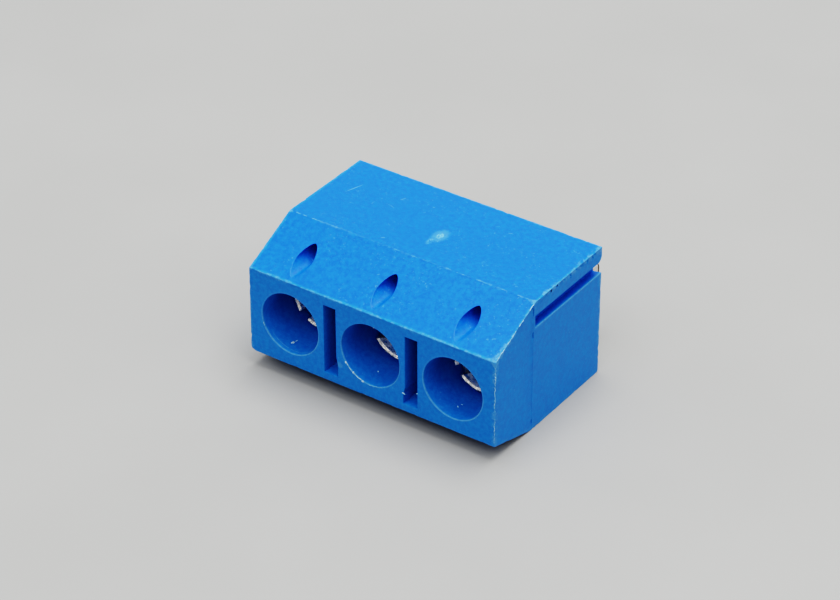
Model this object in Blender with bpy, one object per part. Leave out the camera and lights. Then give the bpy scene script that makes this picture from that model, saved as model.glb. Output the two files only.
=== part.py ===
"""Three-pole screw terminal block for a printed circuit board, 5.0 mm pitch.

The block lies on its wire-entry face.  Inside this file all lengths are in
millimetres in the block's own layout frame and are turned into metres by MM:

  x   along the row of poles, 0 at the middle pole
  y   0 at the screw face, growing towards the board side and the pins
  z   0 at the wire-entry face, growing towards the plain back face

An empty carries the layout frame into the part's frame, whose origin is the
centre of the bottom of the whole part's bounding box.

Per pole: a brass clamping frame with a threaded wall, a solder pin staked into
the frame, a clamp plate that slides inside the frame, and a slotted screw that
turns in the threaded wall and carries the plate with its tip.
"""

import math

import bmesh
import bpy
from mathutils import Matrix, Vector

MM = 0.001

# ---------------------------------------------------------------- dimensions
# row of poles
PITCH = 5.0
POLES = (("left", -PITCH), ("middle", 0.0), ("right", PITCH))
LENGTH = 3 * PITCH

# outline of the moulding, seen along x
BODY_Y = 9.6            # screw face to board face
BODY_Z = 7.6            # wire-entry face to back face
FRONT_LOW_Z = 0.95      # lower edge of the screw face
FRONT_HIGH_Z = 5.95     # upper edge of the screw face
SLOPE_TOP_Y = 3.5       # where the upper slope meets the back face
SLOPE_LOW_Y = 3.25      # where the lower slope meets the wire-entry face
EDGE_R = 0.12           # edge radius of the moulding's long edges

# screw bore
SCREW_Z = 3.45
BORE_R = 1.79
BORE_DEPTH = 4.2

# probe pockets in the upper slope, parallel to the screws
POCKET_Z = 6.59
POCKET_R = 0.53
POCKET_END_Y = 7.0

# slots between the poles in the screw face
SLOT_W = 0.75
SLOT_LOW_Z = 1.35
SLOT_HIGH_Z = 5.41
SLOT_DEPTH = 3.9

# chamber for the clamping frame, open at the board side
CHAMBER_X = 2.0
CHAMBER_LOW_Z = 1.30
CHAMBER_HIGH_Z = 5.60

# funnel-shaped wire entry in the z = 0 face
ENTRY_MOUTH_X = 1.95
ENTRY_MOUTH_Y = (4.85, 8.95)
ENTRY_THROAT_X = 1.50
ENTRY_THROAT_Y = (5.40, 8.60)

# dovetail joint between neighbouring blocks
GROOVE_Z = (6.08, 6.68)
GROOVE_DEPTH = 0.55
GROOVE_UNDERCUT = 0.08
GROOVE_START_Y = 3.5
GROOVE_LIP_R = 0.30
TONGUE_OUT = 0.45
TONGUE_PLAY = 0.06

# stand-off feet on the board face
FOOT_H = 0.4
FOOT_X = (-PITCH / 2, PITCH / 2)
FOOT_Z = ((0.25, 1.05), (6.15, 7.05))
FOOT_W = 1.2

# clamping frame
FRAME_X = 1.95
FRAME_WALL = 0.5
FRAME_Y = (4.25, 9.15)
FRAME_TOP_WALL = 1.2
FRAME_BOTTOM_WALL = 0.6
FRAME_Z = (1.35, 5.55)
FRAME_BEND_R = 0.45
THREAD_HOLE_R = 1.28

# solder pin
PIN_W = 0.8
PIN_Z = 3.7
PIN_TIP_Y = 13.05
PIN_TAPER = 0.5
PIN_TIP_W = 0.42
TENON_W = 0.5
TENON_TOP_Y = 8.60
TENON_PLAY = 0.04
PIN_SHOULDER_Y = 9.18

# clamp plate
PLATE_X = 1.40
PLATE_Y = (8.07, 8.52)
PLATE_Z = (1.50, 5.40)
PLATE_CHAMFER = 0.12

# screw
HEAD_R = 1.62
HEAD_TOP_Y = 2.45
HEAD_H = 1.0
HEAD_CHAMFER = 0.16
SHANK_R = 1.24
SCREW_TIP_Y = 8.05
TIP_CHAMFER = 0.35
DRIVE_W = 0.56
DRIVE_DEPTH = 0.58
DRIVE_ANGLE = {"left": 230.0, "middle": 201.0, "right": 212.0}

THREAD_PITCH = 0.45     # advance of screw and plate per turn
TRAVEL = 2.4            # clamped to fully open

# the part's origin in the layout frame: middle of the box in x and y, base in z
ORIGIN = Vector((-TONGUE_OUT / 2, PIN_TIP_Y / 2, 0.0))


# ------------------------------------------------------------------- helpers
def clear_scene():
    for obj in list(bpy.data.objects):
        bpy.data.objects.remove(obj, do_unlink=True)


def material(name, colour, roughness, metallic):
    mat = bpy.data.materials.new(name)
    mat.use_nodes = True
    bsdf = mat.node_tree.nodes["Principled BSDF"]
    bsdf.inputs["Base Color"].default_value = (*colour, 1.0)
    bsdf.inputs["Roughness"].default_value = roughness
    bsdf.inputs["Metallic"].default_value = metallic
    mat.diffuse_color = (*colour, 1.0)
    return mat


def link(name, bm, mat, parent, location=(0.0, 0.0, 0.0), smooth=None):
    """Turn a bmesh in millimetres into a named object in metres."""
    bmesh.ops.recalc_face_normals(bm, faces=bm.faces[:])
    bmesh.ops.transform(bm, matrix=Matrix.Scale(MM, 4), verts=bm.verts[:])
    mesh = bpy.data.meshes.new(name)
    bm.to_mesh(mesh)
    bm.free()
    if smooth is not None:
        mesh.shade_smooth()
        mesh.set_sharp_from_angle(angle=math.radians(smooth))
    obj = bpy.data.objects.new(name, mesh)
    if mat is not None:
        mesh.materials.append(mat)
    bpy.context.scene.collection.objects.link(obj)
    obj.parent = parent
    obj.location = Vector(location) * MM
    return obj


def empty(name, parent, location):
    obj = bpy.data.objects.new(name, None)
    obj.empty_display_size = 2 * MM
    bpy.context.scene.collection.objects.link(obj)
    obj.parent = parent
    obj.location = Vector(location) * MM
    return obj


def as_cutter(obj):
    obj.hide_render = True
    obj.display_type = "WIRE"
    return obj


def boolean(obj, tool, operation):
    mod = obj.modifiers.new(f"{operation.lower()} {tool.name}", "BOOLEAN")
    mod.operation = operation
    mod.solver = "EXACT"
    mod.object = tool
    return mod


def loft(bm, rings, closed_ends=True):
    """Bridge rings of equal length, each a list of points, into one solid."""
    rows = [[bm.verts.new(p) for p in ring] for ring in rings]
    n = len(rows[0])
    for a, b in zip(rows, rows[1:]):
        for i in range(n):
            j = (i + 1) % n
            bm.faces.new((a[i], a[j], b[j], b[i]))
    if closed_ends:
        bm.faces.new(list(reversed(rows[0])))
        bm.faces.new(rows[-1])
    return rows


def box(bm, lo, hi):
    (x0, y0, z0), (x1, y1, z1) = lo, hi
    return loft(
        bm,
        [
            [(x0, y0, z), (x1, y0, z), (x1, y1, z), (x0, y1, z)]
            for z in (z0, z1)
        ],
    )


def ring_y(x, y, z, r, segments):
    """A circle of points round an axis along y."""
    step = 2 * math.pi / segments
    return [
        (x + r * math.cos(i * step), y, z + r * math.sin(i * step))
        for i in range(segments)
    ]


def rod_y(bm, x, z, profile, segments):
    """A turned solid along y from (y, radius) pairs."""
    return loft(bm, [ring_y(x, y, z, r, segments) for y, r in profile])


def rounded(points, radius, steps):
    """Round every corner of a closed polygon of (a, b) pairs."""
    out = []
    n = len(points)
    for i in range(n):
        p = Vector(points[i])
        a = (Vector(points[i - 1]) - p).normalized()
        b = (Vector(points[(i + 1) % n]) - p).normalized()
        r = radius[i] if isinstance(radius, (list, tuple)) else radius
        if r <= 0:
            out.append(tuple(p))
            continue
        half = a.angle(b) / 2
        reach = r / math.tan(half)
        centre = p + (a + b).normalized() * (r / math.sin(half))
        start = p + a * reach - centre
        end = p + b * reach - centre
        sweep = math.atan2(start.x * end.y - start.y * end.x, start.dot(end))
        for k in range(steps + 1):
            t = sweep * k / steps
            c, s = math.cos(t), math.sin(t)
            q = centre + Vector((c * start.x - s * start.y, s * start.x + c * start.y))
            out.append((q.x, q.y))
    return out


# ------------------------------------------------------------------- housing
def housing_outline():
    corners = [
        (0.0, FRONT_LOW_Z),
        (0.0, FRONT_HIGH_Z),
        (SLOPE_TOP_Y, BODY_Z),
        (BODY_Y, BODY_Z),
        (BODY_Y, 0.0),
        (SLOPE_LOW_Y, 0.0),
    ]
    return rounded(corners, EDGE_R, 3)


def make_housing(root, mat):
    bm = bmesh.new()
    outline = housing_outline()
    loft(bm, [[(x, y, z) for y, z in outline] for x in (-LENGTH / 2, LENGTH / 2)])
    housing = link("housing", bm, mat, root, smooth=30)

    # feet and tongue, sunk into the moulding so that they join it
    bm = bmesh.new()
    for x in FOOT_X:
        for z0, z1 in FOOT_Z:
            box(
                bm,
                (x - FOOT_W / 2, BODY_Y - 0.25, z0),
                (x + FOOT_W / 2, BODY_Y + FOOT_H, z1),
            )
    x_wall, x_tip = -LENGTH / 2 + 0.2, -LENGTH / 2 - TONGUE_OUT
    mid = sum(GROOVE_Z) / 2
    half = (GROOVE_Z[1] - GROOVE_Z[0]) / 2 - TONGUE_PLAY
    flare = GROOVE_UNDERCUT
    loft(
        bm,
        [
            [
                (x_wall, y, mid - half),
                (x_tip, y, mid - half - flare),
                (x_tip, y, mid + half + flare),
                (x_wall, y, mid + half),
            ]
            for y in (GROOVE_START_Y + 0.2, BODY_Y - 0.05)
        ],
    )
    adders = as_cutter(link("housing_additions", bm, None, root))
    boolean(housing, adders, "UNION")

    # bores, probe pockets, slots and the dovetail groove: none touches another
    bm = bmesh.new()
    for _, x in POLES:
        rod_y(bm, x, SCREW_Z, [(-1.0, BORE_R), (BORE_DEPTH + 0.1, BORE_R)], 40)
        rod_y(bm, x, POCKET_Z, [(-1.0, POCKET_R), (POCKET_END_Y, POCKET_R)], 20)
    for x in (-PITCH / 2, PITCH / 2):
        box(
            bm,
            (x - SLOT_W / 2, -1.0, SLOT_LOW_Z),
            (x + SLOT_W / 2, SLOT_DEPTH, SLOT_HIGH_Z),
        )
    # the groove's upper wall curls up in a quarter round at the board side
    lip = [
        (
            BODY_Y - GROOVE_LIP_R * (1 - math.sin(t)),
            GROOVE_Z[1] + GROOVE_LIP_R * (1 - math.cos(t)),
        )
        for t in (math.radians(a) for a in (0, 22.5, 45, 67.5, 90))
    ]
    outer = (
        [(GROOVE_START_Y, GROOVE_Z[1])]
        + lip
        + [(BODY_Y + 0.5, GROOVE_Z[1] + GROOVE_LIP_R)]
        + [(BODY_Y + 0.5, GROOVE_Z[0]), (GROOVE_START_Y, GROOVE_Z[0])]
    )
    x_in, x_out = LENGTH / 2 - GROOVE_DEPTH, LENGTH / 2 + 0.3
    u = GROOVE_UNDERCUT
    k = u / GROOVE_DEPTH * 0.3
    inner = [(y, z + (u if z > mid else -u)) for y, z in outer]
    shrunk = [(y, z + (-k if z > mid else k)) for y, z in outer]
    loft(
        bm,
        [
            [(x_in, y, z) for y, z in inner],
            [(LENGTH / 2, y, z) for y, z in outer],
            [(x_out, y, z) for y, z in shrunk],
        ],
    )
    front = as_cutter(link("cut_front", bm, None, root))
    boolean(housing, front, "DIFFERENCE")

    # chambers, from the board side up to the screw bores
    bm = bmesh.new()
    for _, x in POLES:
        box(
            bm,
            (x - CHAMBER_X, BORE_DEPTH, CHAMBER_LOW_Z),
            (x + CHAMBER_X, BODY_Y + 1.0, CHAMBER_HIGH_Z),
        )
    chambers = as_cutter(link("cut_chambers", bm, None, root))
    boolean(housing, chambers, "DIFFERENCE")

    # wire entries: a funnel from the wire-entry face into the chamber
    bm = bmesh.new()
    for _, x in POLES:
        rings = []
        for z, half_x, (y0, y1), r in (
            (-0.5, None, ENTRY_MOUTH_Y, 0.55),
            (0.0, ENTRY_MOUTH_X, ENTRY_MOUTH_Y, 0.55),
            (CHAMBER_LOW_Z - 0.25, ENTRY_THROAT_X, ENTRY_THROAT_Y, 0.40),
            (CHAMBER_LOW_Z + 0.4, ENTRY_THROAT_X, ENTRY_THROAT_Y, 0.40),
        ):
            hx = ENTRY_MOUTH_X if half_x is None else half_x
            shape = rounded([(-hx, y0), (hx, y0), (hx, y1), (-hx, y1)], r, 4)
            rings.append([(x + a, b, z) for a, b in shape])
        loft(bm, rings)
    entries = as_cutter(link("cut_entries", bm, None, root))
    boolean(housing, entries, "DIFFERENCE")
    return housing


# ------------------------------------------------------- metal of one pole
def make_frame(name, x, root, mat):
    """A bent brass box, open along z for the wire, threaded towards the screw."""
    y0, y1 = FRAME_Y
    bm = bmesh.new()
    outside = rounded(
        [(-FRAME_X, y0), (FRAME_X, y0), (FRAME_X, y1), (-FRAME_X, y1)],
        FRAME_BEND_R,
        4,
    )
    loft(bm, [[(a, b, z) for a, b in outside] for z in FRAME_Z])
    frame = link(name, bm, mat, root, location=(x, 0.0, 0.0), smooth=30)

    bm = bmesh.new()
    ix = FRAME_X - FRAME_WALL
    iy0, iy1 = y0 + FRAME_TOP_WALL, y1 - FRAME_BOTTOM_WALL
    inside = rounded([(-ix, iy0), (ix, iy0), (ix, iy1), (-ix, iy1)], 0.03, 1)
    loft(
        bm,
        [[(a, b, z) for a, b in inside] for z in (FRAME_Z[0] - 1, FRAME_Z[1] + 1)],
    )
    opening = as_cutter(link(f"cut_opening_{name}", bm, None, frame))
    boolean(frame, opening, "DIFFERENCE")

    bm = bmesh.new()
    rod_y(
        bm,
        0.0,
        SCREW_Z,
        [(y0 - 1.0, THREAD_HOLE_R), (iy0 + 0.5, THREAD_HOLE_R)],
        32,
    )
    t = TENON_W / 2 + TENON_PLAY
    box(bm, (-t, iy1 - 0.5, PIN_Z - t), (t, y1 + 1.0, PIN_Z + t))
    holes = as_cutter(link(f"cut_holes_{name}", bm, None, frame))
    boolean(frame, holes, "DIFFERENCE")
    return frame


def make_pin(name, x, root, mat):
    """A square solder pin with a tapered tip and a tenon staked into the frame."""
    bm = bmesh.new()

    def square(y, w):
        h = w / 2
        return [
            (-h, y, PIN_Z - h),
            (h, y, PIN_Z - h),
            (h, y, PIN_Z + h),
            (-h, y, PIN_Z + h),
        ]

    loft(
        bm,
        [
            square(TENON_TOP_Y, TENON_W),
            square(PIN_SHOULDER_Y, TENON_W),
            square(PIN_SHOULDER_Y, PIN_W),
            square(PIN_TIP_Y - PIN_TAPER, PIN_W),
            square(PIN_TIP_Y, PIN_TIP_W),
        ],
    )
    return link(name, bm, mat, root, location=(x, 0.0, 0.0))


def make_plate(name, x, root, mat):
    """The plate that the screw's tip presses on to the wire."""
    y0, y1 = PLATE_Y
    z0, z1 = PLATE_Z
    c = PLATE_CHAMFER
    bm = bmesh.new()
    loft(
        bm,
        [
            [
                (-PLATE_X, y, z0 + d),
                (PLATE_X, y, z0 + d),
                (PLATE_X, y, z1 - d),
                (-PLATE_X, y, z1 - d),
            ]
            for y, d in ((y0, c), (y0 + c, 0.0), (y1 - c, 0.0), (y1, c))
        ],
    )
    # the plate's origin is where the screw's axis meets its upper face
    bmesh.ops.translate(bm, vec=(0.0, -y0, -SCREW_Z), verts=bm.verts[:])
    return link(name, bm, mat, root, location=(x, y0, SCREW_Z))


def make_screw(name, x, angle, root, mat):
    """A slotted screw; its origin is the centre of the head's top face."""
    length = SCREW_TIP_Y - HEAD_TOP_Y
    bm = bmesh.new()
    rod_y(
        bm,
        0.0,
        0.0,
        [
            (0.0, HEAD_R - HEAD_CHAMFER),
            (HEAD_CHAMFER, HEAD_R),
            (HEAD_H, HEAD_R),
            (HEAD_H, SHANK_R),
            (length - TIP_CHAMFER, SHANK_R),
            (length, SHANK_R - TIP_CHAMFER),
        ],
        36,
    )
    screw = link(
        name, bm, mat, root, location=(x, HEAD_TOP_Y, SCREW_Z), smooth=30
    )
    bm = bmesh.new()
    box(
        bm,
        (-HEAD_R - 0.5, -0.5, -DRIVE_W / 2),
        (HEAD_R + 0.5, DRIVE_DEPTH, DRIVE_W / 2),
    )
    bmesh.ops.rotate(
        bm,
        cent=(0.0, 0.0, 0.0),
        matrix=Matrix.Rotation(-math.radians(angle), 3, "Y"),
        verts=bm.verts[:],
    )
    slot = as_cutter(link(f"cut_slot_{name}", bm, None, screw))
    boolean(screw, slot, "DIFFERENCE")
    return screw


# ---------------------------------------------------------------------- build
def main():
    clear_scene()
    plastic = material("blue_nylon", (0.008, 0.165, 0.62), 0.45, 0.0)
    brass = material("nickel_plated_brass", (0.70, 0.62, 0.42), 0.32, 1.0)
    tin = material("tinned_pin", (0.74, 0.74, 0.73), 0.35, 1.0)
    steel = material("zinc_plated_plate", (0.60, 0.61, 0.62), 0.38, 1.0)
    zinc = material("zinc_plated_screw", (0.66, 0.68, 0.71), 0.30, 1.0)

    root = empty("block_frame", None, -ORIGIN)
    make_housing(root, plastic)
    for label, x in POLES:
        make_frame(f"clamp_frame_{label}", x, root, brass)
        make_pin(f"solder_pin_{label}", x, root, tin)
        make_plate(f"clamp_plate_{label}", x, root, steel)
        make_screw(f"screw_{label}", x, DRIVE_ANGLE[label], root, zinc)


main()
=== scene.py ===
"""Looks for the three-pole screw terminal block.

Lengths in the functions below are millimetres in the block's layout frame:
x along the row of poles (0 at the middle pole), y from the screw face towards
the board, z up from the wire-entry face. SHIFT carries them into the row frame.
"""

import math
import random

import bmesh
import bpy
from mathutils import Matrix, Vector, noise


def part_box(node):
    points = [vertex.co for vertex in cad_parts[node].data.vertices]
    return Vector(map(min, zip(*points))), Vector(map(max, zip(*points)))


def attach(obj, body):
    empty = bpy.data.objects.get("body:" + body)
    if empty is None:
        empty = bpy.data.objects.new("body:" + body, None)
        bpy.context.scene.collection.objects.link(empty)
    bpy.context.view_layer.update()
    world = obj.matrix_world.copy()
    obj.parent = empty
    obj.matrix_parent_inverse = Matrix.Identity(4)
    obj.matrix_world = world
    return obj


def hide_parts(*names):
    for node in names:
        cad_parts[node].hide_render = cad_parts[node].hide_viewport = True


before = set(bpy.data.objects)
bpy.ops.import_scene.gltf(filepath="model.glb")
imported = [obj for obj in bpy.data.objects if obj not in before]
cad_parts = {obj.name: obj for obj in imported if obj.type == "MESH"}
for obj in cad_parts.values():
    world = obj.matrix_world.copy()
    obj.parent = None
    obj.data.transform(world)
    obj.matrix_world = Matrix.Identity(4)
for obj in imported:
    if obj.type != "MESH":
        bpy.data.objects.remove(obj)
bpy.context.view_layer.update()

MM = 0.001

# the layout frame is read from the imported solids: the housing's right end is at
# x = 7.5 and its screw face at y = 0
_lo, _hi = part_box("housing")
SHIFT = Vector((_hi.x / MM - 7.5, _lo.y / MM, 0.0))

PITCH = 5.0
POLES = (("left", -PITCH), ("middle", 0.0), ("right", PITCH))
HALF_L = 7.52
BODY_Y, BODY_Z = 9.62, 7.62
FRONT_LOW_Z, FRONT_HIGH_Z = 0.92, 5.95
SLOPE_TOP_Y, SLOPE_LOW_Y = 3.5, 3.25
SCREW_Z = 3.45
BORE_R, BORE_DEPTH = 1.79, 4.2
POCKET_Z, POCKET_R, POCKET_END_Y = 6.57, 0.49, 7.0
CHAMBER_X, CHAMBER_Z = 2.0, (1.30, 5.60)
GROOVE_Z, GROOVE_DEPTH = (6.09, 6.77), 0.49
HEAD_TOP_Y, HEAD_R, HEAD_H = 2.42, 1.64, 1.07
SHANK_R, SCREW_TIP_Y = 1.24, 8.05
THREAD_PITCH = 0.45
DRIVE_ANGLE = {"left": 230.0, "middle": 201.0, "right": 212.0}

random.seed(7)


# --------------------------------------------------------------- node helper
class Nodes:
    """Short names for the shader nodes used below."""

    def __init__(self, name):
        self.mat = bpy.data.materials.new(name)
        self.mat.use_nodes = True
        self.tree = self.mat.node_tree
        self.tree.nodes.clear()
        self.out = self.tree.nodes.new("ShaderNodeOutputMaterial")
        self.bsdf = self.tree.nodes.new("ShaderNodeBsdfPrincipled")
        self.tree.links.new(self.bsdf.outputs[0], self.out.inputs[0])
        self._obj = None

    def _put(self, socket, value):
        if value is None:
            return
        if hasattr(value, "is_output"):
            self.tree.links.new(value, socket)
        elif hasattr(socket.default_value, "__len__") and not hasattr(value, "__len__"):
            socket.default_value = [value] * len(socket.default_value)
        else:
            socket.default_value = value

    def set(self, name, value):
        self._put(self.bsdf.inputs[name], value)

    def math(self, op, a, b=None, c=None, clamp=False):
        n = self.tree.nodes.new("ShaderNodeMath")
        n.operation = op
        n.use_clamp = clamp
        for i, v in enumerate((a, b, c)):
            self._put(n.inputs[i], v)
        return n.outputs[0]

    def add(self, *v):
        r = v[0]
        for x in v[1:]:
            r = self.math("ADD", r, x)
        return r

    def mul(self, *v):
        r = v[0]
        for x in v[1:]:
            r = self.math("MULTIPLY", r, x)
        return r

    def sub(self, a, b):
        return self.math("SUBTRACT", a, b)

    def smooth(self, value, lo, hi, a=0.0, b=1.0):
        n = self.tree.nodes.new("ShaderNodeMapRange")
        n.interpolation_type = "SMOOTHSTEP"
        self._put(n.inputs["Value"], value)
        self._put(n.inputs["From Min"], lo)
        self._put(n.inputs["From Max"], hi)
        self._put(n.inputs["To Min"], a)
        self._put(n.inputs["To Max"], b)
        return n.outputs[0]

    def object_mm(self, shift=(0.0, 0.0, 0.0)):
        """Object coordinates in millimetres, in the layout frame if shifted."""
        tc = self.tree.nodes.new("ShaderNodeTexCoord")
        m = self.tree.nodes.new("ShaderNodeMapping")
        m.vector_type = "POINT"
        m.inputs["Scale"].default_value = (1000.0, 1000.0, 1000.0)
        m.inputs["Location"].default_value = tuple(-s for s in shift)
        self.tree.links.new(tc.outputs["Object"], m.inputs["Vector"])
        return m.outputs[0]

    def split(self, vec):
        n = self.tree.nodes.new("ShaderNodeSeparateXYZ")
        self.tree.links.new(vec, n.inputs[0])
        return n.outputs

    def stretch(self, vec, scale, offset=(0.0, 0.0, 0.0), rotation=(0.0, 0.0, 0.0)):
        m = self.tree.nodes.new("ShaderNodeMapping")
        m.inputs["Scale"].default_value = scale
        m.inputs["Location"].default_value = offset
        m.inputs["Rotation"].default_value = rotation
        self.tree.links.new(vec, m.inputs["Vector"])
        return m.outputs[0]

    def noise(self, vec, scale, detail=2.0, rough=0.5, distortion=0.0):
        n = self.tree.nodes.new("ShaderNodeTexNoise")
        self.tree.links.new(vec, n.inputs["Vector"])
        n.inputs["Scale"].default_value = scale
        n.inputs["Detail"].default_value = detail
        n.inputs["Roughness"].default_value = rough
        n.inputs["Distortion"].default_value = distortion
        return n.outputs[0]

    def voronoi(self, vec, scale, feature="F1"):
        n = self.tree.nodes.new("ShaderNodeTexVoronoi")
        n.feature = feature
        self.tree.links.new(vec, n.inputs["Vector"])
        n.inputs["Scale"].default_value = scale
        return n.outputs[0]

    def mix(self, factor, a, b, mode="MIX"):
        n = self.tree.nodes.new("ShaderNodeMix")
        n.data_type = "RGBA"
        n.blend_type = mode
        self._put(n.inputs[0], factor)
        for socket, v in ((n.inputs[6], a), (n.inputs[7], b)):
            if not hasattr(v, "is_output") and len(v) == 3:
                v = (*v, 1.0)
            self._put(socket, v)
        return n.outputs[2]

    def bump(self, height, strength, distance, normal=None):
        n = self.tree.nodes.new("ShaderNodeBump")
        n.inputs["Strength"].default_value = strength
        n.inputs["Distance"].default_value = distance * MM
        self._put(n.inputs["Height"], height)
        if normal is not None:
            self._put(n.inputs["Normal"], normal)
        return n.outputs[0]


# ------------------------------------------------------------------ geometry
def finish_mesh(name, bm, materials, smooth=30.0):
    """Millimetres in the layout frame to an object in the row frame."""
    bmesh.ops.recalc_face_normals(bm, faces=bm.faces[:])
    bmesh.ops.transform(
        bm,
        matrix=Matrix.Scale(MM, 4) @ Matrix.Translation(SHIFT),
        verts=bm.verts[:],
    )
    mesh = bpy.data.meshes.new(name)
    bm.to_mesh(mesh)
    bm.free()
    mesh.shade_smooth()
    mesh.set_sharp_from_angle(angle=math.radians(smooth))
    for m in materials:
        mesh.materials.append(m)
    obj = bpy.data.objects.new(name, mesh)
    bpy.context.scene.collection.objects.link(obj)
    return obj


def temp_object(bm):
    bmesh.ops.recalc_face_normals(bm, faces=bm.faces[:])
    mesh = bpy.data.meshes.new("temp")
    bm.to_mesh(mesh)
    bm.free()
    obj = bpy.data.objects.new("temp", mesh)
    bpy.context.scene.collection.objects.link(obj)
    return obj


def carve(bm, steps):
    """Apply (operation, tool bmesh) Booleans to bm, all in millimetres."""
    base = temp_object(bm)
    for op, tool in steps:
        cutter = temp_object(tool)
        mod = base.modifiers.new("b", "BOOLEAN")
        mod.operation = op
        mod.solver = "EXACT"
        mod.object = cutter
        dg = bpy.context.evaluated_depsgraph_get()
        mesh = bpy.data.meshes.new_from_object(base.evaluated_get(dg))
        base.modifiers.clear()
        old = base.data
        base.data = mesh
        bpy.data.meshes.remove(old)
        old = cutter.data
        bpy.data.objects.remove(cutter)
        bpy.data.meshes.remove(old)
    out = bmesh.new()
    out.from_mesh(base.data)
    mesh = base.data
    bpy.data.objects.remove(base)
    bpy.data.meshes.remove(mesh)
    bmesh.ops.remove_doubles(out, verts=out.verts[:], dist=1e-5)
    return out


def loft(bm, rings, caps=True):
    rows = [[bm.verts.new(p) for p in ring] for ring in rings]
    n = len(rows[0])
    for a, b in zip(rows, rows[1:]):
        for i in range(n):
            j = (i + 1) % n
            bm.faces.new((a[i], a[j], b[j], b[i]))
    if caps:
        bm.faces.new(list(reversed(rows[0])))
        bm.faces.new(rows[-1])
    return rows


def box(bm, lo, hi):
    (x0, y0, z0), (x1, y1, z1) = lo, hi
    loft(bm, [[(x0, y0, z), (x1, y0, z), (x1, y1, z), (x0, y1, z)] for z in (z0, z1)])


def rounded(points, radius, steps):
    out = []
    n = len(points)
    for i in range(n):
        p = Vector(points[i])
        a = (Vector(points[i - 1]) - p).normalized()
        b = (Vector(points[(i + 1) % n]) - p).normalized()
        half = a.angle(b) / 2
        reach = radius / math.tan(half)
        centre = p + (a + b).normalized() * (radius / math.sin(half))
        start = p + a * reach - centre
        end = p + b * reach - centre
        sweep = math.atan2(start.x * end.y - start.y * end.x, start.dot(end))
        for k in range(steps + 1):
            t = sweep * k / steps
            c, s = math.cos(t), math.sin(t)
            q = centre + Vector((c * start.x - s * start.y, s * start.x + c * start.y))
            out.append((q.x, q.y))
    return out


def round_edges(bm, keep, width, segments, step=None):
    """Bevel every sharp edge that keep(edge) accepts, after cutting it short."""
    bm.normal_update()

    def wanted():
        out = []
        for e in bm.edges:
            if len(e.link_faces) != 2:
                continue
            if e.calc_face_angle(0.0) < math.radians(20):
                continue
            if keep(e):
                out.append(e)
        return out

    if step:
        for e in wanted():
            cuts = int(e.calc_length() / step)
            if cuts > 0:
                bmesh.ops.subdivide_edges(bm, edges=[e], cuts=cuts)
    bmesh.ops.bevel(
        bm,
        geom=wanted(),
        offset=width,
        offset_type="OFFSET",
        segments=segments,
        profile=0.5,
        affect="EDGES",
        clamp_overlap=False,
        material=-1,
    )
    bm.normal_update()


def weighted(obj):
    mod = obj.modifiers.new("weighted normals", "WEIGHTED_NORMAL")
    mod.mode = "FACE_AREA"
    mod.weight = 50
    mod.keep_sharp = True
    return obj


SLOPE_N = Vector((0.0, -(BODY_Z - FRONT_HIGH_Z), SLOPE_TOP_Y)).normalized()
LOW_N = Vector((0.0, -FRONT_LOW_Z, -SLOPE_LOW_Y)).normalized()
PLANES = (
    (Vector((0, -1, 0)), 0.0),
    (SLOPE_N, SLOPE_N.dot(Vector((0, 0, FRONT_HIGH_Z)))),
    (Vector((0, 0, 1)), BODY_Z),
    (Vector((0, 1, 0)), BODY_Y),
    (Vector((0, 0, -1)), 0.0),
    (LOW_N, LOW_N.dot(Vector((0, 0, FRONT_LOW_Z)))),
    (Vector((1, 0, 0)), HALF_L),
    (Vector((-1, 0, 0)), HALF_L),
)


def inside_distances(p):
    return [k - n.dot(p) for n, k in PLANES]


def on_skin(face):
    """True for a face that lies in one of the block's outer planes."""
    c = face.calc_center_median()
    n = face.normal
    for pn, k in PLANES:
        if abs(k - pn.dot(c)) < 0.06 and n.dot(pn) > 0.98:
            return True
    return False


STEP_Y = 3.32          # the mould's parting plane crosses the end faces here
STEP_X = 0.006
CORNER_R = 0.27


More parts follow.
